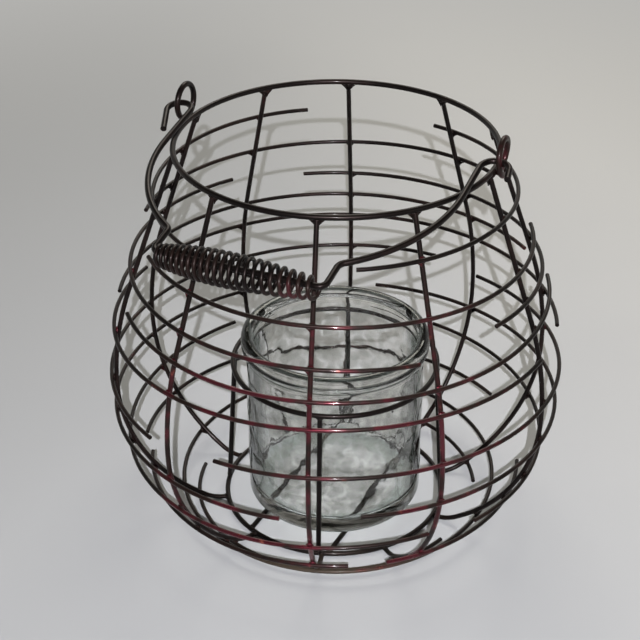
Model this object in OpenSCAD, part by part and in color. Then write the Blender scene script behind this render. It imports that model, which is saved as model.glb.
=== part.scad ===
// Hurricane candle holder: a round wire cage with a bail, a coil grip and a glass jar.
// Millimetres. The middle of the footprint is the origin, +Z is up, and the
// eyelets and the hinge line of the bail lie along X. At rest the bail lies on
// the rim and its grip hangs over the front, towards -Y.

/* [Cage] */
// mean radius of the rim ring
rim_r = 90; // [84:1:96]
// height of the rim's wire centre
rim_h = 236; // [225:1:250]
// wire of the rim
rim_wire = 3.2; // [2.6:0.1:4]
// wire of the ribs
rib_wire = 2.8; // [2:0.1:3.2]
// wire of the hoops
hoop_wire = 2.4; // [1.8:0.1:3]
// radius of the ribs at their widest
belly_r = 130; // [124:1:138]
// height of the widest place
belly_h = 92; // [84:1:100]
// bend of the ribs above the widest place
belly_bend = 185; // [160:5:200]
// bend of each rib where it turns in at the floor
foot_bend = 22; // [16:1:26]
// flat end of each rib beside the holder's lower ring
spoke_len = 1.2; // [0.6:0.2:4]
// turn of the cage against the line of the eyelets
cage_turn = -3; // [-6:1:0]

/* [Hoop rows] */
// height of the foot hoop
foot_h = 12.5; // [11.5:0.5:15]
// from the foot hoop up to the ninth row
row9_gap = 19.5; // [18:0.5:22]
// from the ninth row up to the eighth
row8_gap = 22; // [19:1:24]
// from the eighth row up to the seventh
row7_gap = 23; // [20:1:26]
// from the seventh row up to the sixth
row6_gap = 26; // [23:1:29]
// from the sixth row up to the fifth
row5_gap = 27; // [24:1:30]
// from the fifth row up to the fourth
row4_gap = 18; // [16:1:20]
// from the fourth row up to the third
row3_gap = 17; // [15:1:19]
// from the third row up to the second
row2_gap = 23; // [20:1:26]
// from the second row up to the first
row1_gap = 23; // [20:1:26]
// height of the left base hoop
base_left_h = 3.6; // [3.2:0.2:5]
// height of the right base hoop
base_right_h = 5.4; // [4.4:0.2:6]
// how far the hoops stray from level rows
hoop_stray = 1; // [0:0.1:1.2]

/* [Holder for the jar] */
// mean radius of the upper ring
holder_top_r = 61; // [59:0.5:66]
// height of the upper ring's wire centre
holder_top_h = 95.5; // [85:0.5:105]
// mean radius of the lower ring, which stands on the floor
holder_base_r = 67; // [62:1:72]
// wire of the rings, the posts and the two base wires
holder_wire = 3; // [2.4:0.2:3.6]
// direction of the first post
post_turn = 18; // [8:1:28]
// distance between the two base wires
base_wire_gap = 52; // [40:2:64]

/* [Jar] */
// outer radius of the jar's wall
jar_r = 53; // [50:0.5:54]
// outer radius of the rounded lip
lip_r = 56; // [54.5:0.5:57.5]
// height of the jar
jar_h = 112.5; // [100:0.5:125]
// height of the lip band
lip_band = 10; // [8:0.5:14]
// thickness of the lip band
lip_t = 6; // [5:0.5:6.5]
// wall of the jar
glass_t = 3.5; // [2.5:0.5:5]
// thickness of the floor
floor_t = 7; // [5:0.5:12]
// round of the outer lower edge
base_round = 6; // [3:0.5:10]
// round of the inner lower edge
inner_round = 4; // [2:0.5:8]

/* [Eyelets and bail] */
// mean radius of the eyelets
eyelet_r = 9.8; // [9:0.2:12]
// wire of the eyelets
eyelet_wire = 3.3; // [2.6:0.1:3.6]
// space between the two ends of the right eyelet
eyelet_split = 0.5; // [0.4:0.1:1.5]
// wire of the bail
bail_wire_d = 3.4; // [2.8:0.1:3.8]
// space between the resting bail and the rim
bail_clear = 0.8; // [0.4:0.1:1.5]
// angle by which the resting bail slopes down to the front
bail_slope = 11; // [8:1:14]
// from each eyelet in to the arm of the bail
arm_in = 7; // [6:0.5:8]
// bend of the left hook
left_hook_r = 7; // [6:0.5:8]
// bend of the right hook
right_hook_r = 8; // [7:0.5:9]
// angle by which the left hook closes past its half turn
left_hook_close = 22; // [0:2:30]
// angle by which the right hook stays open
right_hook_open = 10; // [0:2:20]
// straight end of the left hook
left_hook_leg = 19; // [10:1:22]
// straight end of the right hook
right_hook_leg = 8; // [6:1:16]
// how far the left hook lies forward in its eyelet
left_hook_seat = 1.3; // [0:0.1:2]
// how far the right hook lies forward in its eyelet
right_hook_seat = 4; // [0:0.5:4]
// from the hinge line to the bend of the arms
arm_straight = 38; // [32:1:44]
// bend of the arms
arm_bend = 84; // [76:1:90]
// sweep of the arms' bend
arm_sweep = 56; // [50:1:60]
// bend where each arm turns to the grip
kink_r = 5; // [4:0.5:8]
// distance from the hinge line to the grip
grip_reach = 128; // [124:1:136]
// bend of the bail at each end of the grip
corner_r = 4; // [3.6:0.1:4.5]

/* [Coil grip] */
// wire of the coil
coil_wire = 2; // [1.6:0.1:2.4]
// mean radius of the coil at its ends
coil_end_r = 5; // [4.6:0.2:6.5]
// mean radius of the coil at its middle
coil_mid_r = 8.4; // [7:0.2:10]
// number of curls
coil_curls = 19; // [15:1:21]

/* [Hidden] */
// weld line between pieces that are fixed to each other
weld_gap = 0.03;
// space below the jar, above the two base wires
jar_seat = 0.3;
// space at each end of the coil
coil_end_gap = 0.7;
// number of ribs round the cage
rib_count = 10;
rib_step = 360 / rib_count;
// turn of each rib against even spacing
rib_turn = [0, 2.5, 0.5, 3.4, 0, -1, 0, -0.8, 1.8, -1.9];

// Heights of the rows, counted up from the foot hoop.
row9_h = foot_h + row9_gap;
row8_h = row9_h + row8_gap;
row7_h = row8_h + row7_gap;
row6_h = row7_h + row6_gap;
row5_h = row6_h + row5_gap;
row4_h = row5_h + row4_gap;
row3_h = row4_h + row3_gap;
row2_h = row3_h + row2_gap;
row1_h = row2_h + row1_gap;

// Each hoop is [height above its row, rise, direction of the rise, start, end].
// The directions run round the cage from the right eyelet.
row1_right = [0, 1.6, 343, 302, 440];
row1_left = [-2, 4.8, 124, 126, 291];
row2_back = [3.2, 4.6, 334, 55, 200];
row2_front = [-2.7, 2.5, 186, 228, 390];
row3_left = [-0.5, 2.9, 182, 150, 317];
row3_right = [0, 3.2, 305, 342, 486];
row4_back = [-4, 1.1, 23, 49, 207];
row4_front = [4.4, 5.1, 119, 225, 388];
row5_front = [0, 3.4, 327, 181, 358];
row5_back = [-3.2, 1.2, 26, 20, 170];
row6_left = [-1.8, 4.1, 42, 86, 246];
row6_right = [-1.5, 3.7, 309, 267, 432];
row7_left = [-1.5, 0, 0, 140, 283];
row7_right = [-0.3, 2.9, 314, 302, 464];
row8_left = [2.8, 6, 57, 149, 319];
row8_right = [0, 3.9, 145, 335, 444];
row9_back = [3.8, 2.1, 270, 55, 202];
row9_left = [-2, 0, 0, 208, 300];
row9_right = [-2, 0, 0, 311, 380];
foot_all = [0, 5, 95, 152, 439];
base_left = [0, 0, 0, 193, 345];
base_right = [0, 0, 0, 26, 80];

// The rib's centre line: a straight neck, two belly arcs and a foot arc.
rib_z = rib_wire / 2;
foot_r = holder_base_r + holder_wire / 2 + weld_gap + spoke_len;
up_c = belly_r - belly_bend;
up_dx = rim_r - up_c;
up_dz = rim_h - belly_h;
up_dist = sqrt(up_dx * up_dx + up_dz * up_dz);
neck_a = atan2(up_dz, up_dx) - acos(belly_bend / up_dist);
neck_r = up_c + belly_bend * cos(neck_a);
neck_z = belly_h + belly_bend * sin(neck_a);
low_u = belly_r - foot_r;
low_dz = belly_h - rib_z - foot_bend;
low_top = low_dz * low_dz + low_u * low_u - foot_bend * foot_bend;
low_bend = low_top / (2 * (low_u - foot_bend));
low_c = belly_r - low_bend;
foot_a = atan2(low_dz, foot_r - low_c);

// Radius of the surface that lies d outside the ribs' centre line, at a height.
function skin_neck(z, d) = rim_r + (rim_h - z) * tan(neck_a) + d / cos(neck_a);
function skin_arc(z, d, c, h, b) = c + sqrt((b + d) * (b + d) - (z - h) * (z - h));
function skin_low(z, d) = z > belly_h - (low_bend + d) * sin(foot_a)
    ? skin_arc(z, d, low_c, belly_h, low_bend)
    : skin_arc(z, d, foot_r, rib_z + foot_bend, foot_bend);
function skin(z, d) = z > neck_z + d * sin(neck_a)
    ? skin_neck(z, d)
    : (z > belly_h ? skin_arc(z, d, up_c, belly_h, belly_bend) : skin_low(z, d));
hoop_out = (rib_wire + hoop_wire) / 2 + weld_gap;

// The eyelets stand on the rim, and the hooks of the bail turn in them.
eyelet_x = rim_r + (rim_wire + eyelet_wire) / 2 + weld_gap;
eyelet_z = rim_h + eyelet_r - 0.2;
arm_x = eyelet_x - arm_in;
cross_y = sqrt(rim_r * rim_r - arm_x * arm_x);
hinge_lift = (rim_wire + bail_wire_d) / 2 + bail_clear;
hinge_z = rim_h + hinge_lift / cos(bail_slope) + cross_y * tan(bail_slope);
arm_y = arm_straight;
kink_x = arm_x - arm_bend * (1 - cos(arm_sweep));
kink_y = arm_y + arm_bend * sin(arm_sweep);
drop_cx = kink_x + kink_r * cos(arm_sweep);
drop_cy = kink_y + kink_r * sin(arm_sweep);
drop_x = drop_cx - kink_r;

// The coil hangs on the bail, a little space above the wire inside it.
coil_air = 0.3;
coil_steps = 8;
coil_bore = coil_end_r * cos(180 / coil_steps) - coil_wire / 2;
coil_hang = coil_bore - bail_wire_d / 2 - coil_air;

// Bars and bends stop this far short of the collar that makes them one wire.
joint_gap = 0.05;
joint_len = 0.3;
joint_proud = 0.03;
coil_half = drop_x - bail_wire_d / 2 - coil_end_gap - coil_wire / 2;

base_wire_z = holder_wire / 2;
jar_z = holder_wire + jar_seat;
fine = 48;
round_fn = 144;

// A round bar between two points of the XY plane.
module bar(x0, y0, x1, y1, d) {
    len = sqrt((x1 - x0) * (x1 - x0) + (y1 - y0) * (y1 - y0));
    translate([x0, y0, 0])
        rotate([0, 0, atan2(y1 - y0, x1 - x0)])
            translate([joint_gap, 0, 0])
                rotate([0, 90, 0])
                    cylinder(h = len - 2 * joint_gap, d = d, $fn = fine);
}

// A bent bar in the XY plane, round a centre, from one angle to the next.
module bend(cx, cy, r, from, to, d) {
    trim = joint_gap / r * 180 / PI;
    translate([cx, cy, 0])
        rotate([0, 0, from + trim])
            rotate_extrude(angle = to - from - 2 * trim, $fn = round_fn)
                translate([r, 0])
                    circle(d = d, $fn = fine);
}

// The joint between two bars or bends of one wire: a short collar across the
// wire, which runs at angle a there. It is a hair fuller than the wire.
module joint(x, y, a, d) {
    translate([x, y, 0])
        rotate([0, 0, a])
            rotate([0, 90, 0])
                cylinder(h = joint_len, d = d + 2 * joint_proud, center = true, $fn = fine);
}

// A whole ring of wire.
module ring(r, z, d) {
    translate([0, 0, z])
        rotate_extrude($fn = round_fn)
            translate([r, 0])
                circle(d = d, $fn = fine);
}

// One hoop: an arc that lies on the ribs and is tilted as the welder left it.
module hoop(row_h, h) {
    z = row_h + hoop_stray * h[0];
    rise = hoop_stray * h[1];
    slope = (skin(z + 1, hoop_out) - skin(z - 1, hoop_out)) / 2;
    r = skin(z, hoop_out);
    tilt = asin(rise / r);
    color("dimgray")
        rotate([0, 0, cage_turn + h[2]])
            translate([slope * rise, 0, z])
                rotate([0, -tilt, 0])
                    rotate([0, 0, h[3] - h[2]])
                        rotate_extrude(angle = h[4] - h[3], $fn = round_fn)
                            translate([r / cos(tilt), 0])
                                circle(d = hoop_wire, $fn = fine);
}

// One rib, from under the rim to the holder's lower ring.
module rib(n) {
    gap = rim_wire / 2 + weld_gap;
    color("slategray")
        rotate([0, 0, cage_turn + n * rib_step + rib_turn[n]])
            rotate([90, 0, 0]) {
                bar(rim_r + gap * sin(neck_a), rim_h - gap * cos(neck_a), neck_r, neck_z, rib_wire);
                joint(neck_r, neck_z, 90 + neck_a, rib_wire);
                bend(up_c, belly_h, belly_bend, 0, neck_a, rib_wire);
                joint(belly_r, belly_h, 90, rib_wire);
                bend(low_c, belly_h, low_bend, -foot_a, 0, rib_wire);
                joint(low_c + low_bend * cos(foot_a), belly_h - low_bend * sin(foot_a), 90 - foot_a, rib_wire);
                bend(foot_r, rib_z + foot_bend, foot_bend, -90, -foot_a, rib_wire);
                joint(foot_r, rib_z, 0, rib_wire);
                bar(foot_r - spoke_len, rib_z, foot_r, rib_z, rib_wire);
            }
}

// The rim is one ring of thicker wire.
module rim_ring() {
    color("black")
        ring(rim_r, rim_h, rim_wire);
}

// The holder keeps the jar upright: two rings, four posts and two base wires.
module holder_top_ring() {
    color("gray")
        ring(holder_top_r, holder_top_h, holder_wire);
}

module holder_base_ring() {
    color("gray")
        ring(holder_base_r, base_wire_z, holder_wire);
}

// Each post leans out from under the upper ring to the top of the lower one.
module post(n) {
    rise = holder_top_h - base_wire_z;
    out = holder_base_r - holder_top_r;
    len = sqrt(rise * rise + out * out);
    end = holder_wire / 2 + weld_gap;
    color("darkgray")
        rotate([0, 0, cage_turn + post_turn + n * 90])
            translate([holder_top_r, 0, holder_top_h])
                rotate([0, 180 - atan2(out, rise), 0])
                    translate([0, 0, end])
                        cylinder(h = len - 2 * end, d = holder_wire, $fn = fine);
}

// A base wire runs from front to back inside the lower ring.
module base_wire(side) {
    color("darkgray")
        rotate([0, 0, cage_turn])
            intersection() {
                translate([side * base_wire_gap / 2, -holder_base_r, base_wire_z])
                    rotate([-90, 0, 0])
                        cylinder(h = 2 * holder_base_r, d = holder_wire, $fn = fine);
                cylinder(h = 4 * holder_wire, r = holder_base_r - holder_wire / 2 - weld_gap,
                    center = true, $fn = round_fn);
            }
}

// The eyelets stand beside the rim, across the hinge line. The left one is a
// closed ring.
module eyelet_left() {
    color("firebrick")
        translate([-eyelet_x, 0, eyelet_z])
            rotate([0, 90, 0])
                rotate_extrude($fn = round_fn)
                    translate([eyelet_r, 0])
                        circle(d = eyelet_wire, $fn = fine);
}

// The right one is one turn of wire whose ends lie side by side on the rim: a
// half ring out to the top and a half ring out and down again.
module eyelet_half(n) {
    lean = atan2(eyelet_step / 2, eyelet_r);
    trim = joint_gap / eyelet_r * 180 / PI;
    translate([eyelet_x + eyelet_step * (n + 0.5), 0, eyelet_z])
        rotate([0, n == 0 ? 90 + lean : 90 - lean, 0])
            rotate([0, 0, 180 * n + trim])
                rotate_extrude(angle = 180 - 2 * trim, $fn = round_fn)
                    translate([eyelet_r / cos(lean), 0])
                        circle(d = eyelet_wire, $fn = fine);
}

eyelet_step = (eyelet_wire + eyelet_split) / 2;
module eyelet_right() {
    color("firebrick") {
        eyelet_half(0);
        translate([eyelet_x + eyelet_step, 0, eyelet_z + eyelet_r])
            rotate([90, 0, 0])
                cylinder(h = joint_len, d = eyelet_wire + 2 * joint_proud, center = true, $fn = fine);
        eyelet_half(1);
    }
}

// The bail and its grip lie in one plane through the hinge line.
module bail_place() {
    translate([0, 0, hinge_z])
        rotate([bail_slope, 0, 0])
            children();
}

// Half of the bail: hook, arm, kink and corner. The hooks were bent by hand.
module bail_half(r, close, leg, seat) {
    hook_x = arm_x + r;
    hook_y = -seat - r;
    leg_x = hook_x + r * cos(close);
    leg_y = hook_y - r * sin(close);
    bar(leg_x, leg_y, leg_x - leg * sin(close), leg_y - leg * cos(close), bail_wire_d);
    joint(leg_x, leg_y, 90 - close, bail_wire_d);
    bend(hook_x, hook_y, r, -close, 180, bail_wire_d);
    joint(arm_x, hook_y, 90, bail_wire_d);
    bar(arm_x, hook_y, arm_x, -arm_y, bail_wire_d);
    joint(arm_x, -arm_y, 90, bail_wire_d);
    bend(arm_x - arm_bend, -arm_y, arm_bend, -arm_sweep, 0, bail_wire_d);
    joint(kink_x, -kink_y, 90 - arm_sweep, bail_wire_d);
    bend(drop_cx, -drop_cy, kink_r, 180 - arm_sweep, 180, bail_wire_d);
    joint(drop_x, -drop_cy, 90, bail_wire_d);
    bar(drop_x, -drop_cy, drop_x, corner_r - grip_reach, bail_wire_d);
    joint(drop_x, corner_r - grip_reach, 90, bail_wire_d);
    bend(drop_x - corner_r, corner_r - grip_reach, corner_r, -90, 0, bail_wire_d);
    joint(drop_x - corner_r, -grip_reach, 0, bail_wire_d);
}

module bail_wire() {
    color("black")
        bail_place() {
            bail_half(right_hook_r, -right_hook_open, right_hook_leg, right_hook_seat);
            mirror([1, 0, 0])
                bail_half(left_hook_r, left_hook_close, left_hook_leg, left_hook_seat);
            bar(corner_r - drop_x, -grip_reach, drop_x - corner_r, -grip_reach, bail_wire_d);
        }
}

// The grip is one barrel-shaped coil of thin wire, loose on the bail.
coil_rings = coil_curls * coil_steps;
function coil_u(i) = i / coil_rings;
function coil_r(i) = coil_end_r + (coil_mid_r - coil_end_r) * sin(180 * coil_u(i));
function coil_p(i) = [
    coil_half * (2 * coil_u(i) - 1),
    coil_r(i) * cos(i * 360 / coil_steps),
    coil_r(i) * sin(i * 360 / coil_steps)];
function unit(v) = v / norm(v);
function coil_t(i) = unit(coil_p(i + 0.1) - coil_p(i - 0.1));
function coil_n(i) = unit(cross(coil_t(i), [1, 0, 0]));
function coil_b(i) = cross(coil_t(i), coil_n(i));
coil_points = [for (i = [0 : coil_rings]) for (k = [0 : 5])
    coil_p(i) + coil_wire / 2 * (cos(k * 60) * coil_n(i) + sin(k * 60) * coil_b(i))];
coil_sides = [for (i = [0 : coil_rings - 1]) for (k = [0 : 5]) for (s = [0, 1])
    s == 0
        ? [i * 6 + k, i * 6 + (k + 1) % 6, (i + 1) * 6 + k]
        : [i * 6 + (k + 1) % 6, (i + 1) * 6 + (k + 1) % 6, (i + 1) * 6 + k]];
coil_caps = [for (k = [1 : 4]) for (s = [0, 1])
    s == 0
        ? [0, k + 1, k]
        : [coil_rings * 6, coil_rings * 6 + k, coil_rings * 6 + k + 1]];
coil_gaps = [for (i = [0 : coil_rings - coil_steps - 4]) for (n = [-4 : 4])
    norm(coil_p(i + coil_steps + n) - coil_p(i)) - coil_wire];
echo(least_coil_gap = min(coil_gaps));

module grip_coil() {
    color("saddlebrown")
        bail_place()
            translate([0, -grip_reach, 0])
                rotate([-bail_slope, 0, 0])
                    translate([0, 0, -coil_hang])
                        polyhedron(points = coil_points, faces = concat(coil_sides, coil_caps),
                            convexity = 10);
}

// The jar: a thick floor, a straight wall and a rounded lip band.
module glass_jar() {
    in_r = jar_r - glass_t;
    lip_c = lip_r - lip_t / 2;
    color("lightblue", 0.5)
        translate([0, 0, jar_z])
            rotate_extrude($fn = round_fn) {
                difference() {
                    union() {
                        square([jar_r - base_round, jar_h - lip_band / 2]);
                        translate([0, base_round])
                            square([jar_r, jar_h - lip_band / 2 - base_round]);
                        translate([jar_r - base_round, base_round])
                            circle(r = base_round, $fn = fine);
                        translate([lip_c, jar_h - lip_t / 2])
                            circle(d = lip_t, $fn = fine);
                        translate([lip_c, jar_h - lip_band + lip_t / 2])
                            circle(d = lip_t, $fn = fine);
                        translate([lip_c - lip_t / 2, jar_h - lip_band + lip_t / 2])
                            square([lip_t, lip_band - lip_t]);
                    }
                    union() {
                        translate([0, floor_t])
                            square([in_r - inner_round, jar_h]);
                        translate([0, floor_t + inner_round])
                            square([in_r, jar_h]);
                        translate([in_r - inner_round, floor_t + inner_round])
                            circle(r = inner_round, $fn = fine);
                    }
                }
            }
}

rim_ring();
rib(0);  // rib_01
rib(1);  // rib_02
rib(2);  // rib_03
rib(3);  // rib_04
rib(4);  // rib_05
rib(5);  // rib_06
rib(6);  // rib_07
rib(7);  // rib_08
rib(8);  // rib_09
rib(9);  // rib_10
hoop(row1_h, row1_right);  // row1_hoop_right
hoop(row1_h, row1_left);  // row1_hoop_left
hoop(row2_h, row2_back);  // row2_hoop_back
hoop(row2_h, row2_front);  // row2_hoop_front
hoop(row3_h, row3_left);  // row3_hoop_left
hoop(row3_h, row3_right);  // row3_hoop_right
hoop(row4_h, row4_back);  // row4_hoop_back
hoop(row4_h, row4_front);  // row4_hoop_front
hoop(row5_h, row5_front);  // row5_hoop_front
hoop(row5_h, row5_back);  // row5_hoop_back
hoop(row6_h, row6_left);  // row6_hoop_left
hoop(row6_h, row6_right);  // row6_hoop_right
hoop(row7_h, row7_left);  // row7_hoop_left
hoop(row7_h, row7_right);  // row7_hoop_right
hoop(row8_h, row8_left);  // row8_hoop_left
hoop(row8_h, row8_right);  // row8_hoop_right
hoop(row9_h, row9_back);  // row9_hoop_back
hoop(row9_h, row9_left);  // row9_hoop_left
hoop(row9_h, row9_right);  // row9_hoop_right
hoop(foot_h, foot_all);  // foot_hoop
hoop(base_left_h, base_left);  // base_hoop_left
hoop(base_right_h, base_right);  // base_hoop_right
holder_top_ring();
holder_base_ring();
post(0);  // holder_post_1
post(1);  // holder_post_2
post(2);  // holder_post_3
post(3);  // holder_post_4
base_wire(-1);  // base_wire_left
base_wire(1);  // base_wire_right
eyelet_left();
eyelet_right();
bail_wire();
grip_coil();
glass_jar();
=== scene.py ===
import math
import random

import bmesh
import bpy
from mathutils import Matrix, Vector, noise
from mathutils.bvhtree import BVHTree


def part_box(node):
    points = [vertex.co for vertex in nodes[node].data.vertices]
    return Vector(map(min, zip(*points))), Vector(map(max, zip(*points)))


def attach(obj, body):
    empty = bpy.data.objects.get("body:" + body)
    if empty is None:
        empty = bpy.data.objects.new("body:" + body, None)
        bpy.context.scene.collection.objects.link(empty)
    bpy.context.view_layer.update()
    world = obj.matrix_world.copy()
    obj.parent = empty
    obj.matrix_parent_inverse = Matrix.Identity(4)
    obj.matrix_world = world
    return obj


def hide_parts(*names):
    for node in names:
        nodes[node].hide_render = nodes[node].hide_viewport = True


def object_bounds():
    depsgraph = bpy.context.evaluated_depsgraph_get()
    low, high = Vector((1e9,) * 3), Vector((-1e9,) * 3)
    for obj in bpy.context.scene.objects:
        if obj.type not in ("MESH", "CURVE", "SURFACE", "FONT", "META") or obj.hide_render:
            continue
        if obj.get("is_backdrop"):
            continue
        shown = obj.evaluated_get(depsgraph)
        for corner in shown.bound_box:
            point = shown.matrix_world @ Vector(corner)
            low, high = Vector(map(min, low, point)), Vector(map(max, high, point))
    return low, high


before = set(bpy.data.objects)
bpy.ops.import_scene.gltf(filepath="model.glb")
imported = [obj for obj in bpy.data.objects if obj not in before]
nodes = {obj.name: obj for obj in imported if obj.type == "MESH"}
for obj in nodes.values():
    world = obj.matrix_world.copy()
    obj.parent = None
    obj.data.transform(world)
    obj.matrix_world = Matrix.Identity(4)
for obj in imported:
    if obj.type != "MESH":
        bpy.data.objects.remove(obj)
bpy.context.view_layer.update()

# The rim is one ring of thick mild steel wire, butt welded and rolled round.
# Like all the wire it is sprayed near black over a dark red metallic ground, which shows
# through where hands and hoops have rubbed it; on the lit front the red is also a painted
# highlight.
BLACK = (0.0018, 0.0014, 0.0013, 1.0)
BROWN = (0.012, 0.0065, 0.0055, 1.0)
RED = (0.088, 0.008, 0.017, 1.0)
COPPER = (0.62, 0.18, 0.11, 1.0)
FLOOR_REFLECTION = (0.13, 0.105, 0.075, 1.0)
SHEEN = (1.0, 0.76, 0.74, 1.0)

# The front lies towards +X and -Y in these shares, and the painted red highlight on it, where the
# small lamp by the camera shines, begins this far out.
FRONT_X = 0.39
FRONT_Y = 0.92
FRONT_EDGE = (0.055, 0.118)
# The painted red highlight covers the lit front below this height and fades out above it.
HIGHLIGHT_TOP = 0.24
HIGHLIGHT_FADE = 0.08

# A place that fingers rub: its reach, the fade at its edge and how hard it is rubbed.
FINGER_REACH = 0.02
FINGER_FADE = 0.014
FINGER_RUB = 1.25

# The paint's patches, drips and grain, as waves in a metre, and the shares that drips,
# rubbing, the painted front highlight and a redder paint add to where the red shows.
PATCH_SCALE = 24.0
DRIP_SCALE = 150.0
GRAIN_SCALE = 1900.0
DRIP_SHARE = 0.28
HIGHLIGHT_AND_RUB_SHARE = 0.19
RED_SHARE = 0.3

# From the first number to the second, the black thins to brown, rubs through to the red
# ground, which on the lit front also stands as a painted highlight, and is bared to copper in the
# drips.
THINNED = (0.6, 0.86)
RUBBED_AND_HIGHLIT = (0.82, 1.0)
BARED = (0.62, 0.72)
COPPER_SHARE = 0.4

# A painted reflection of the pale floor lies in patches on the lit front of the lowest wires.
FLOOR_REFLECTION_TOP = 0.013
FLOOR_REFLECTION_FADE = 0.006
FLOOR_REFLECTION_PATCHES = (0.3, 0.5)
FLOOR_REFLECTION_SHARE = 0.8


class Finish:
    """A value in a finish. Arithmetic on it adds Math nodes to the same finish."""

    def __init__(self, tree, socket=None):
        self.tree = tree
        self.socket = socket

    def node(self, kind, settings=None, inputs=None, output=0):
        """Any node: its settings are set first, then its sockets get values or links."""
        made = self.tree.nodes.new(kind)
        for name, value in (settings or {}).items():
            setattr(made, name, value)
        for name, value in (inputs or {}).items():
            if isinstance(value, Finish):
                self.tree.links.new(value.socket, made.inputs[name])
            else:
                made.inputs[name].default_value = value
        return Finish(self.tree, made.outputs[output]) if len(made.outputs) else None

    def maths(self, operation, first, second):
        return self.node("ShaderNodeMath", {"operation": operation}, {0: first, 1: second})

    def size(self):
        return self.maths("ABSOLUTE", self, 0.0)

    def __add__(self, other):
        return self.maths("ADD", self, other)

    def __radd__(self, other):
        return self.maths("ADD", other, self)

    def __sub__(self, other):
        return self.maths("SUBTRACT", self, other)

    def __rsub__(self, other):
        return self.maths("SUBTRACT", other, self)

    def __mul__(self, other):
        return self.maths("MULTIPLY", self, other)

    def __rmul__(self, other):
        return self.maths("MULTIPLY", other, self)


def new_finish(name):
    """An empty material, and its first value with nothing wired to it."""
    material = bpy.data.materials.new(name)
    material.use_nodes = True
    material.node_tree.nodes.clear()
    return material, Finish(material.node_tree)


def along(start, place, axis):
    """How far a place lies along X, Y or Z."""
    return start.node("ShaderNodeSeparateXYZ", inputs={"Vector": place}, output=axis)


def clouds(start, place, scale, seed, detail=3.0):
    """Soft noise from 0 to 1 in the object's own place."""
    return start.node(
        "ShaderNodeTexNoise", {"noise_dimensions": "4D"},
        {"Vector": place, "W": seed, "Scale": scale, "Detail": detail, "Roughness": 0.6})


def step(start, value, low, high):
    """0 below low, 1 above high and a smooth step between them."""
    return start.node(
        "ShaderNodeMapRange", {"interpolation_type": "SMOOTHSTEP"},
        {"Value": value, "From Min": low, "From Max": high, "To Min": 0.0, "To Max": 1.0})


def blend(start, factor, first, second):
    """Two colours mixed by a factor."""
    return start.node(
        "ShaderNodeMix", {"data_type": "RGBA"}, {0: factor, 6: first, 7: second}, 2)


def lacquer(name, red, seed, rubbed_at=None):
    """Black lacquer over metallic red; a higher red shows more of the ground. The red on the lit
    front is partly a painted highlight, and the lowest wires get a painted floor reflection.
    """
    material, start = new_finish(name)
    place = start.node("ShaderNodeTexCoord", output="Object")
    height = along(start, place, "Z")
    forward = along(start, place, "X") * FRONT_X - along(start, place, "Y") * FRONT_Y
    # The lit front faces the camera and the small lamp beside it; red shown there is partly a
    # painted highlight.
    lit_front = step(start, forward, *FRONT_EDGE)
    highlight_and_rub = lit_front * step(start, HIGHLIGHT_TOP - height, 0.0, HIGHLIGHT_FADE)
    if rubbed_at:
        away = start.node(
            "ShaderNodeVectorMath", {"operation": "DISTANCE"}, {0: place, 1: rubbed_at}, 1)
        highlight_and_rub = highlight_and_rub + step(start, FINGER_REACH - away, 0.0, FINGER_FADE) * FINGER_RUB
    patches = clouds(start, place, PATCH_SCALE, seed)
    drips = clouds(start, place, DRIP_SCALE, seed + 7.0, 4.0)
    grain = clouds(start, place, GRAIN_SCALE, seed + 13.0, 2.0)
    # Real wear and the painted front highlight together decide where the red ground shows.
    wear_and_highlight = patches + drips * DRIP_SHARE + highlight_and_rub * HIGHLIGHT_AND_RUB_SHARE + (red - 0.5) * RED_SHARE
    rubbed_and_highlit = step(start, wear_and_highlight, *RUBBED_AND_HIGHLIT)
    bared = step(start, drips, *BARED) * rubbed_and_highlit
    dark = blend(start, step(start, wear_and_highlight, *THINNED), BLACK, BROWN)
    ground = blend(start, rubbed_and_highlit, dark, RED)
    bright = blend(start, bared * COPPER_SHARE, ground, COPPER)
    # A painted reflection of the pale floor on the lit front of the lowest wires.
    floor_reflection = step(start, FLOOR_REFLECTION_TOP - height, 0.0, FLOOR_REFLECTION_FADE) * lit_front
    floor_reflection = floor_reflection * step(start, patches, *FLOOR_REFLECTION_PATCHES)
    colour = blend(start, floor_reflection * FLOOR_REFLECTION_SHARE, bright, FLOOR_REFLECTION)
    dents = start.node(
        "ShaderNodeBump", None, {"Strength": 0.3, "Distance": 0.00012, "Height": grain})
    paint = start.node("ShaderNodeBsdfPrincipled", None, {
        "Base Color": colour,
        "Metallic": rubbed_and_highlit * 0.7,
        "Roughness": 0.3 + grain * 0.14 - rubbed_and_highlit * 0.1,
        "Specular IOR Level": 0.17,
        "Specular Tint": SHEEN,
        "Coat Weight": 0.1 + rubbed_and_highlit * 0.56,
        "Coat Roughness": 0.1,
        "Normal": dents})
    start.node("ShaderNodeOutputMaterial", None, {"Surface": paint})
    return material


def dress(name, material):
    """Gives a carried-over wire its finish."""
    mesh = nodes[name].data
    mesh.materials.clear()
    mesh.materials.append(material)


rim_paint = lacquer("rim_lacquer", 0.42, 1.0)
dress("rim_ring", rim_paint)

# Ten ribs of thinner wire hang from the rim, swell to the belly and turn in flat
# at the floor. Each is bent over a former and its top is welded under the rim.
RIB_NAMES = sorted(name for name in nodes if name.startswith("rib_"))
cage_paint = lacquer("cage_lacquer", 0.62, 3.0)
for name in RIB_NAMES:
    dress(name, cage_paint)

# The hoops are lengths of the thinnest wire, cut square, and lie outside the ribs
# in uneven rows. In some places their ends lap, and in others they leave a gap.
HOOP_NAMES = sorted(name for name in nodes if "hoop" in name)
for name in HOOP_NAMES:
    dress(name, cage_paint)

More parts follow.
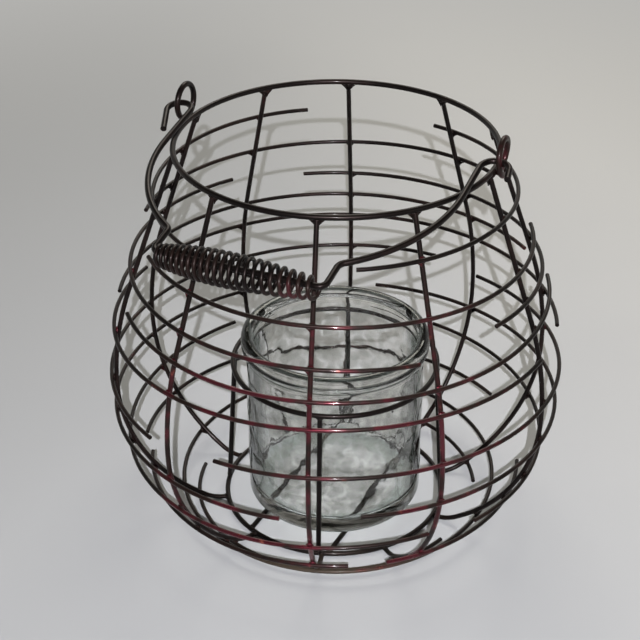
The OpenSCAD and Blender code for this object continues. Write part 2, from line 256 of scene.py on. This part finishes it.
# Each crossing of a hoop and a rib is a spot weld: the wires melt together a little
# in a bead, and at most of them paint has run into the corner below the hoop. Seen
# from outside, it is to the right of the left ribs and to the left of the others.
# Wires less than TOUCH apart are joined.
TOUCH = 0.0004
HOOP_RADIUS = 0.0012
RIB_RADIUS = 0.0014
HOOP_BEAD = (0.002, 0.0019, 0.0009)
PAINT_RUN = 0.0034
RUN_DEPTH = 0.0022
RUN_CHANCE = 0.7
LEFT_RIBS = -0.4
welder = random.Random(11)

# A fillet's rows, from one face to the other: the lift off its middle, in half depths,
# and how far the row is pushed out. Its tips are thinner than its middle.
FILLET_ROWS = ((0.8, 0.0), (0.45, 0.1), (0.0, 0.14), (-0.45, 0.1), (-0.8, 0.0))
FILLET_STEPS = 8
FILLET_TIP = 0.3


def finish_piece(bm, name, material, body):
    """Turns a bmesh into a smooth piece that rides on a body and stays off the floor."""
    for v in bm.verts:
        v.co.z = max(v.co.z, 0.0)
    mesh = bpy.data.meshes.new(name)
    for face in bm.faces:
        face.smooth = True
    bm.to_mesh(mesh)
    bm.free()
    mesh.materials.append(material)
    piece = bpy.data.objects.new(name, mesh)
    bpy.context.scene.collection.objects.link(piece)
    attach(piece, body)
    return piece


def loose_copy(name):
    """A bmesh of a carried-over wire, for measuring only."""
    bm = bmesh.new()
    bm.from_mesh(nodes[name].data)
    return bm


def cut_centre(bm, across, towards):
    """The middle of a wire where an upright plane through the axis cuts it, or None."""
    found = bmesh.ops.bisect_plane(
        bm, geom=bm.verts[:] + bm.edges[:] + bm.faces[:], dist=1e-7,
        plane_co=(0, 0, 0), plane_no=across)
    places = [v.co.copy() for v in found["geom_cut"]
              if isinstance(v, bmesh.types.BMVert) and v.co.dot(towards) > 0]
    if not places:
        return None
    return sum(places, Vector()) / len(places)


def bead(bm, at, axes, sizes):
    """One small bead of weld, as wide as sizes along the three axes."""
    turn = Matrix(axes).transposed().to_4x4()
    grow = Matrix.Diagonal((*sizes, 1.0))
    bmesh.ops.create_icosphere(
        bm, subdivisions=2, radius=1.0, matrix=Matrix.Translation(at) @ turn @ grow)


def fillet(bm, corner, sides, depth, size):
    """Metal that fills a corner between two wires, thin at its tips, its edge hollow."""
    normal = sides[0].cross(sides[1]).normalized() * depth / 2
    inside = bm.verts.new(corner)
    rows = []
    for lift, push in FILLET_ROWS:
        row = []
        for i in range(FILLET_STEPS + 1):
            angle = math.pi / 2 * i / FILLET_STEPS
            bulge = math.sin(2 * angle)
            reach = sides[0] * (1 - math.cos(angle)) + sides[1] * (1 - math.sin(angle))
            reach += (sides[0] + sides[1]) * push * bulge
            thick = FILLET_TIP + (1 - FILLET_TIP) * bulge
            row.append(bm.verts.new(corner + reach * size + normal * lift * thick))
        rows.append(row)
    for first, second in zip(rows, rows[1:]):
        for i in range(FILLET_STEPS):
            bm.faces.new((first[i], second[i], second[i + 1], first[i + 1]))
    for i in range(FILLET_STEPS):
        bm.faces.new((inside, rows[0][i], rows[0][i + 1]))
        bm.faces.new((inside, rows[-1][i + 1], rows[-1][i]))
    for first, second in zip(rows, rows[1:]):
        bm.faces.new((inside, second[0], first[0]))
        bm.faces.new((inside, first[-1], second[-1]))


def wire_tree(name):
    """A search tree of a wire's surface."""
    bm = loose_copy(name)
    tree = BVHTree.FromBMesh(bm)
    bm.free()
    return tree


def facing(name):
    """The level direction in which a rib stands from the axis."""
    flat = sum((v.co.xy for v in nodes[name].data.vertices), Vector((0, 0)))
    return Vector((*flat.normalized(), 0))


ribs = [(wire_tree(name), facing(name)) for name in RIB_NAMES]
hoop_welds = bmesh.new()
for name in HOOP_NAMES:
    hoop = loose_copy(name)
    for tree, towards in ribs:
        across = Vector((-towards.y, towards.x, 0))
        centre = cut_centre(hoop, across, towards)
        if centre is None:
            continue
        spot, _, _, reach = tree.find_nearest(centre)
        if reach > HOOP_RADIUS + TOUCH:
            continue
        inward = (spot - centre).normalized()
        down = inward.cross(across)
        size = welder.uniform(0.85, 1.2)
        wide, tall, proud = HOOP_BEAD
        bead(hoop_welds, spot, (across, down, inward), (wide * size, tall * size, proud))
        if welder.random() < RUN_CHANCE:
            aside = across if towards.x < LEFT_RIBS else -across
            corner = spot + aside * RIB_RADIUS * 0.5 + down * HOOP_RADIUS * 0.5
            fillet(hoop_welds, corner, (aside, down), RUN_DEPTH, PAINT_RUN * size)
    hoop.free()
bmesh.ops.recalc_face_normals(hoop_welds, faces=hoop_welds.faces)

# The black is thinnest on these beads, so they show the most red.
weld_paint = lacquer("weld_lacquer", 1.0, 31.0)
finish_piece(hoop_welds, "hoop_welds", weld_paint, "basket")

# Each rib is butted under the rim, and its weld flares out along the rim both ways.
RIM_BEAD = (0.0021, 0.0015, 0.0012)
RIM_FLARE = 0.00442
FLARE_DEPTH = 0.0026
rim_welds = bmesh.new()
rim_low, rim_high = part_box("rim_ring")
rim_wire = (rim_high.z - rim_low.z) / 2
rim_radius = (rim_high.x - rim_low.x) / 2 - rim_wire
down = Vector((0, 0, -1))
for tree, towards in ribs:
    across = Vector((-towards.y, towards.x, 0))
    spot = tree.find_nearest(towards * rim_radius + Vector((0, 0, rim_low.z)))[0]
    size = welder.uniform(0.9, 1.2)
    wide, deep, tall = RIM_BEAD
    bead(rim_welds, spot, (across, towards, down), (wide * size, deep, tall))
    for aside in (-across, across):
        corner = towards * rim_radius + aside * RIB_RADIUS * 0.5
        corner.z = rim_low.z + rim_wire * 0.4
        fillet(rim_welds, corner, (aside, down), FLARE_DEPTH, RIM_FLARE * size)
bmesh.ops.recalc_face_normals(rim_welds, faces=rim_welds.faces)
finish_piece(rim_welds, "rim_welds", cage_paint, "basket")

# The holder keeps the jar upright. Two rings are joined by four leaning posts, and
# two base wires run across the lower ring; all are the same straight drawn wire.
# Posts, base wires and the ribs' feet are welded to the rings.
HOLDER_NAMES = sorted(name for name in nodes if name.startswith(("holder_", "base_wire_")))
HOLDER_RINGS = ("holder_top_ring", "holder_base_ring")
JOINED = [name for name in HOLDER_NAMES if name not in HOLDER_RINGS] + RIB_NAMES
HOLDER_BEAD = (0.0021, 0.001785, 0.001)
holder_paint = lacquer("holder_lacquer", 0.12, 5.0)
for name in HOLDER_NAMES:
    dress(name, holder_paint)
holder_welds = bmesh.new()
for ring in map(wire_tree, HOLDER_RINGS):
    for name in JOINED:
        near = [v.co for v in nodes[name].data.vertices if ring.find_nearest(v.co)[3] < TOUCH]
        for group in ([p for p in near if p.y > 0], [p for p in near if p.y < 0]):
            if not group:
                continue
            middle = sum(group, Vector()) / len(group)
            spot, outward, _, _ = ring.find_nearest(middle)
            across = Vector((-spot.y, spot.x, 0)).normalized()
            size = welder.uniform(0.9, 1.15)
            wide, tall, proud = HOLDER_BEAD
            bead(holder_welds, spot, (across, across.cross(outward), outward),
                 (wide * size, tall, proud))
finish_piece(holder_welds, "holder_welds", holder_paint, "basket")

# The eyelets stand on the outside of the rim: the left one is a closed ring, and the
# right one is a turn of wire whose two ends lie side by side. Each is welded on with
# three beads in a line, given here as the place along the line and the length.
EYELET_BEADS = ((-0.0022, 0.0019), (0.0004, 0.0023), (0.0028, 0.0018))
EYELET_BEAD_WIDE = 0.0011
EYELET_BEAD_TALL = 0.0014
EYELET_OUT = 0.002
eyelet_paint = lacquer("eyelet_lacquer", 1.4, 9.0)
eyelet_welds = bmesh.new()
rim_tree = wire_tree("rim_ring")
for name, paint in (("eyelet_left", rim_paint), ("eyelet_right", eyelet_paint)):
    dress(name, paint)
    low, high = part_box(name)
    side = 1 if low.x > 0 else -1
    spot = rim_tree.find_nearest(Vector((side * (rim_radius + EYELET_OUT), 0, low.z)))[0]
    for offset, length in EYELET_BEADS:
        bead(eyelet_welds, spot + Vector((0, offset, 0)), Matrix.Identity(3),
             (EYELET_BEAD_WIDE, length, EYELET_BEAD_TALL))
finish_piece(eyelet_welds, "eyelet_welds", rim_paint, "basket")

# The bail is one length of thick wire: a hook at each end turns in its eyelet, and
# the arms run forward over the rim to the grip.
bail_paint = lacquer("bail_lacquer", 0.3, 15.0)
dress("bail_wire", bail_paint)

# The grip is a barrel-shaped coil of thin wire, wound on a tapered former and
# slipped over the bail before its last bend, so it turns freely. Its paint is
# rubbed red by fingers at the front of its right end.
COIL_WIRE = 0.0022
COIL_END = 0.005
COIL_MIDDLE = 0.0084
COIL_CURLS = 22
COIL_CLOSER = 0.28
COIL_STEPS = 28
COIL_SIDES = 12
FINGERS_IN = 0.012
FINGERS_DOWN = 0.003
coil_low, coil_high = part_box("grip_coil")
coil_centre = (coil_low + coil_high) / 2
coil_half = (coil_high.x - coil_low.x) / 2 - COIL_WIRE / 2


def wound_coil():
    """A screw of round wire along X: it swells in the middle and closes up on the left."""
    bm = bmesh.new()
    start = Matrix.Translation((-coil_half, COIL_MIDDLE, 0))
    bmesh.ops.create_circle(
        bm, cap_ends=False, segments=COIL_SIDES, radius=COIL_WIRE / 2, matrix=start)
    turns = COIL_CURLS * COIL_STEPS
    pitch = 2 * coil_half / COIL_CURLS
    bmesh.ops.spin(
        bm, geom=bm.verts[:] + bm.edges[:], cent=(0, 0, 0), axis=(1, 0, 0),
        dvec=(2 * coil_half / turns, 0, 0), angle=math.tau * COIL_CURLS, steps=turns)
    for v in bm.verts:
        angle = math.atan2(v.co.z, v.co.y) / math.tau
        curl = angle + round((v.co.x + coil_half) / pitch - angle)
        share = min(max(curl / COIL_CURLS, 0.0), 1.0)
        swell = (COIL_END - COIL_MIDDLE) * (1 - math.sin(math.pi * share))
        outward = Vector((0, v.co.y, v.co.z)).normalized()
        v.co += outward * swell
        v.co.x += 2 * coil_half * COIL_CLOSER * (share * share - share)
    ends = [e for e in bm.edges if e.is_boundary]
    bmesh.ops.holes_fill(bm, edges=ends)
    bmesh.ops.recalc_face_normals(bm, faces=bm.faces)
    bmesh.ops.translate(bm, verts=bm.verts, vec=coil_centre)
    return bm


fingers_at = (coil_high.x - FINGERS_IN, coil_low.y, coil_centre.z - FINGERS_DOWN)
coil_paint = lacquer("coil_lacquer", 0.3, 21.0, fingers_at)
coil = finish_piece(wound_coil(), "coil_grip", coil_paint, "grip")
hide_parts("grip_coil")

# The jar is pressed from clear glass with a rippled, hammered wall, a thick floor
# and a heavy rounded lip. It stands loose between the two rings of the holder.
JAR_RADIUS = 0.053
LIP_RADIUS = 0.056
LIP_BAND = 0.010
LIP_THICK = 0.0074
COLLAR_ROUND = 0.0023
COLLAR_DROP = 0.001
LIP_CORNER = (0.0006, 0.0004)
WALL = 0.004
FLOOR = 0.010
ROUND = 0.006
INNER_ROUND = 0.004
FOOT = 0.006
JAR_STEPS = 192
WALL_STEPS = 48

# The underside is pressed hollow and the floor is domed: each radius and its height.
UNDERSIDE = [(0.0, 0.0012), (0.018, 0.0010), (0.034, 0.0006)]
DOME = [(0.034, 0.0), (0.018, 0.0008), (0.0, 0.0012)]

# The wall ripples in wide dents with finer upright streaks on them, as waves in a
# metre round the jar and up it. They fade towards the floor and the lip.
RIPPLE = 0.0005
STREAK = 0.2
DENTS_ROUND = 75
DENTS_UP = 62
STREAKS_ROUND = 240
STREAKS_UP = 70
FADE_LOW = 0.012
FADE_HIGH = 0.008
jar_low, jar_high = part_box("glass_jar")


def arc(centre, radius, first, last, count):
    """Places along an arc in radius and height, from the first angle to the last."""
    angles = [math.radians(first + (last - first) * i / count) for i in range(count + 1)]
    return [(centre[0] + radius * math.cos(a), centre[1] + radius * math.sin(a)) for a in angles]


def rise(radius, low, high):
    """Places up a straight wall, without its ends."""
    return [(radius, low + (high - low) * i / WALL_STEPS) for i in range(1, WALL_STEPS)]


def clamp(value):
    """A value held between 0 and 1."""
    return min(max(value, 0.0), 1.0)


def ripple(v, low, high):
    """How far the wall is pushed in or out, fading at its lower and upper edge."""
    fade = clamp((v.z - low) / FADE_LOW) * clamp((high - v.z) / FADE_HIGH)
    wide = noise.noise(Vector((v.x * DENTS_ROUND, v.y * DENTS_ROUND, v.z * DENTS_UP)))
    streaks = noise.noise(
        Vector((v.x * STREAKS_ROUND + 9, v.y * STREAKS_ROUND, v.z * STREAKS_UP)))
    return RIPPLE * fade * (wide + STREAK * streaks)


def pressed_jar():
    """The jar's profile spun round the axis, with its walls rippled."""
    height = jar_high.z - jar_low.z
    inner = JAR_RADIUS - WALL
    bead_r = LIP_THICK / 2
    collar = (LIP_RADIUS - COLLAR_ROUND, height - LIP_BAND + COLLAR_ROUND)
    outline = list(UNDERSIDE)
    outline += [(JAR_RADIUS - ROUND - FOOT, 0.0)]
    outline += arc((JAR_RADIUS - ROUND, ROUND), ROUND, -90, 0, 10)
    outline += rise(JAR_RADIUS, ROUND, height - LIP_BAND - COLLAR_DROP)
    outline += arc(collar, COLLAR_ROUND, -70, 55, 9)
    outline += arc((LIP_RADIUS - bead_r, height - bead_r), bead_r, -38, 232, 22)
    outline += [(inner + LIP_CORNER[0], height - LIP_THICK - LIP_CORNER[1])]
    outline += rise(inner, height - LIP_BAND, FLOOR + INNER_ROUND)
    outline += arc((inner - INNER_ROUND, FLOOR + INNER_ROUND), INNER_ROUND, 0, -90, 8)
    outline += [(radius, FLOOR + lift) for radius, lift in DOME]
    bm = bmesh.new()
    verts = [bm.verts.new((x, 0, z)) for x, z in outline]
    edges = [bm.edges.new(pair) for pair in zip(verts, verts[1:])]
    bmesh.ops.spin(
        bm, geom=verts + edges, cent=(0, 0, 0), axis=(0, 0, 1), angle=math.tau,
        steps=JAR_STEPS, use_merge=True)
    bmesh.ops.remove_doubles(bm, verts=bm.verts, dist=1e-6)
    bmesh.ops.recalc_face_normals(bm, faces=bm.faces)
    for v in bm.verts:
        flat = Vector((v.co.x, v.co.y, 0))
        if flat.length > inner - 0.001:
            v.co += flat.normalized() * ripple(v.co, ROUND, height - LIP_BAND)
    bmesh.ops.translate(bm, verts=bm.verts, vec=(0, 0, jar_low.z))
    return bm


# The glass is clear, with painted shade that greys it where it is seen on edge and on top
# of the lip, for the dark room it bends into view. The outer edge of the base is green with
# its thickness, and a little rough. Seeds are the tiny bubbles in it, and swirls are painted
# light where its waves gather the light.
CLEAR_DIM = (0.74, 0.75, 0.73, 1.0)
CLEAR_BRIGHT = (0.99, 0.99, 0.98, 1.0)
BASE_GREEN = (0.2, 0.27, 0.25, 1.0)
LIP_PAINTED_SHADE = (0.04, 0.048, 0.044, 1.0)
EDGE_PAINTED_SHADE = (0.08, 0.1, 0.09, 1.0)
SHADOW_DIM = (0.6, 0.6, 0.59, 1.0)
SHADOW_BRIGHT = (1.0, 1.0, 1.0, 1.0)
BASE_EDGE_TOP = 0.005
BASE_EDGE_FADE = 0.002
BASE_EDGE_RADIUS = (0.034, 0.042)
LIP_TOP = (0.0018, 0.0009)
ON_EDGE = (0.45, 0.75)
SWIRL = (0.35, 0.95)
SWIRL_WIDTH = 3.0
WAVE_SCALE = 75.0
SEED_SCALE = 330.0
SEEDS = (0.55, 0.9)
SEED_SHARE = 0.12


def clear_glass():
    """Clear pressed glass with painted shade at its edges and lip top, and painted light in swirls
    where its ripples gather the light.
    """
    material, start = new_finish("pressed_glass")
    place = start.node("ShaderNodeTexCoord", output="Object")
    seeds = clouds(start, place, SEED_SCALE, 2.0)
    waves = clouds(start, place, WAVE_SCALE, 4.0, 1.5)
    ridge = 1.0 - (waves * 2.0 - 1.0).size() * SWIRL_WIDTH
    swirls = step(start, ridge, *SWIRL)
    height = along(start, place, "Z")
    level = start.node("ShaderNodeVectorMath", {"operation": "MULTIPLY"}, {0: place, 1: (1, 1, 0)})
    radius = start.node("ShaderNodeVectorMath", {"operation": "LENGTH"}, {0: level}, 1)
    base_edge = step(start, jar_low.z + BASE_EDGE_TOP - height, 0.0, BASE_EDGE_FADE)
    base_edge = base_edge * step(start, radius, *BASE_EDGE_RADIUS)
    # Painted shade on top of the lip.
    lip_painted_shade = step(start, height, jar_high.z - LIP_TOP[0], jar_high.z - LIP_TOP[1])
    on_edge = start.node("ShaderNodeLayerWeight", None, {"Blend": 0.5}, 1)
    # Painted light: the glass is paler in the swirls and greyer between them.
    clear = blend(start, swirls, CLEAR_DIM, CLEAR_BRIGHT)
    green = blend(start, base_edge * 0.8, clear, BASE_GREEN)
    ringed = blend(start, lip_painted_shade, green, LIP_PAINTED_SHADE)
    # Painted shade where the glass is seen on edge.
    tint = blend(start, step(start, on_edge, *ON_EDGE), ringed, EDGE_PAINTED_SHADE)
    dents = start.node("ShaderNodeBump", None, {
        "Strength": 0.4,
        "Distance": 0.0006,
        "Height": waves + seeds * SEED_SHARE})
    glass = start.node("ShaderNodeBsdfPrincipled", None, {
        "Base Color": tint,
        "Roughness": step(start, seeds, *SEEDS) * 0.04 + base_edge * 0.15,
        "IOR": 1.5,
        "Transmission Weight": 1.0,
        "Normal": dents})
    dim = start.node("ShaderNodeBsdfTransparent", None, {"Color": SHADOW_DIM})
    bright = start.node("ShaderNodeBsdfTransparent", None, {"Color": SHADOW_BRIGHT})
    through = start.node("ShaderNodeMixShader", None, {0: swirls, 1: dim, 2: bright})
    lamps = start.node("ShaderNodeLightPath", output="Is Shadow Ray")
    shown = start.node("ShaderNodeMixShader", None, {0: lamps, 1: glass, 2: through})
    start.node("ShaderNodeOutputMaterial", None, {"Surface": shown})
    return material


jar = finish_piece(pressed_jar(), "hammered_jar", clear_glass(), "jar")
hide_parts("glass_jar")

# The floor is a plain pale sheet with painted light that makes it a little paler towards the
# back right, and it fades into an even pale background between the two distances of HAZE_FROM.
FLOOR_SIZE = 12.0
FLOOR_GREY = (0.555, 0.565, 0.59, 1.0)
FLOOR_PAINTED_LIGHT = (0.79, 0.79, 0.8, 1.0)
BACKGROUND = (0.47, 0.465, 0.45, 1.0)
PALER_X = 0.75
PALER_Y = 0.66
PALER_FROM = (0.06, 0.45)
HAZE_FROM = (0.5, 1.2)


def seen(start):
    """1 for what the camera sees, also in a reflection or through the glass."""
    rays = [start.node("ShaderNodeLightPath", output=name)
            for name in ("Is Camera Ray", "Is Glossy Ray", "Is Transmission Ray")]
    return step(start, rays[0] + rays[1] + rays[2], 0.0, 1.0)


def pale_sheet():
    """A matt pale surface that fades out into the background."""
    material, start = new_finish("pale_sheet")
    place = start.node("ShaderNodeTexCoord", output="Object")
    away = along(start, place, "X") * PALER_X + along(start, place, "Y") * PALER_Y
    uneven = clouds(start, place, 3.0, 1.0) * 0.1
    # Painted light: the floor is paler towards the back right.
    painted_light = step(start, away + uneven, *PALER_FROM)
    colour = blend(start, painted_light, FLOOR_GREY, FLOOR_PAINTED_LIGHT)
    matt = start.node("ShaderNodeBsdfPrincipled", None, {"Base Color": colour, "Roughness": 0.95})
    distance = start.node("ShaderNodeVectorMath", {"operation": "LENGTH"}, {0: place}, 1)
    faded = step(start, distance, *HAZE_FROM) * seen(start)
    haze = start.node("ShaderNodeEmission", None, {"Color": BACKGROUND, "Strength": 1.0})
    surface = start.node("ShaderNodeMixShader", None, {0: faded, 1: matt, 2: haze})
    start.node("ShaderNodeOutputMaterial", None, {"Surface": surface})
    return material


floor_bm = bmesh.new()
bmesh.ops.create_grid(floor_bm, x_segments=1, y_segments=1, size=FLOOR_SIZE)
floor_mesh = bpy.data.meshes.new("floor")
floor_bm.to_mesh(floor_mesh)
floor_bm.free()
floor_mesh.materials.append(pale_sheet())
floor = bpy.data.objects.new("floor", floor_mesh)
bpy.context.scene.collection.objects.link(floor)
floor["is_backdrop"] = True

# The light is a dim sky and three lamps: a small one just above the camera, a wide soft
# one at the back and a weak one far out on the right. Each has its place, its width in
# metres, its watts, the angle of its beam and its colour.
SKY = (1.0, 0.95, 0.8, 1.0)
SKY_LEVEL = 0.1
SKY_FROM = (0.25, 0.5)
LAMP_AIM = Vector((0, 0, 0.12))
LAMPS = [
    ((0.42, -0.985, 0.797), 0.006, 3.6, 84, (0.97, 0.97, 1.0)),
    ((-0.4, 1.5, 1.8), 1.2, 21.0, 180, (1.0, 0.965, 0.86)),
    ((1.6, -0.2, 0.9), 0.9, 2.0, 180, (1.0, 0.96, 0.85))]

for number, (place, width, watts, beam, colour) in enumerate(LAMPS):
    light = bpy.data.lights.new(f"lamp_{number}", "AREA")
    light.size = width
    light.spread = math.radians(beam)
    light.energy = watts
    light.color = colour
    lamp = bpy.data.objects.new(light.name, light)
    lamp.location = place
    lamp.visible_transmission = False
    lamp.rotation_mode = "QUATERNION"
    lamp.rotation_quaternion = (LAMP_AIM - Vector(place)).to_track_quat("-Z", "Y")
    bpy.context.scene.collection.objects.link(lamp)

world = bpy.data.worlds.new("studio")
world.use_nodes = True
world.node_tree.nodes.clear()
air = Finish(world.node_tree)
aloft = along(air, air.node("ShaderNodeTexCoord", output="Generated"), "Z")
low_down = 1.0 - step(air, aloft, *SKY_FROM)
sky = air.node("ShaderNodeBackground", None, {"Color": SKY, "Strength": SKY_LEVEL})
haze = air.node("ShaderNodeBackground", None, {"Color": BACKGROUND, "Strength": 1.0})
studio = air.node("ShaderNodeMixShader", None, {0: low_down * seen(air), 1: sky, 2: haze})
air.node("ShaderNodeOutputWorld", None, {"Surface": studio})
bpy.context.scene.world = world
bpy.context.scene.view_settings.view_transform = "Standard"

# The camera stands in front and to the right, and looks down on the rim.
AIM = Vector((-0.0082, -0.0038, 0.12276))
AZIMUTH = math.radians(23.57)
ELEVATION = math.radians(30.86)
DISTANCE = 0.8955
LENS = 85.5
SENSOR = 36.0
back = Vector((
    math.sin(AZIMUTH) * math.cos(ELEVATION),
    -math.cos(AZIMUTH) * math.cos(ELEVATION),
    math.sin(ELEVATION)))
camera_data = bpy.data.cameras.new("camera")
camera_data.sensor_width = SENSOR
camera_data.lens = LENS
camera = bpy.data.objects.new("camera", camera_data)
camera.location = AIM + back * DISTANCE
camera.rotation_mode = "QUATERNION"
camera.rotation_quaternion = (-back).to_track_quat("-Z", "Y")
bpy.context.scene.collection.objects.link(camera)
bpy.context.scene.camera = camera

# The model's box after dressing.
low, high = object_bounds()
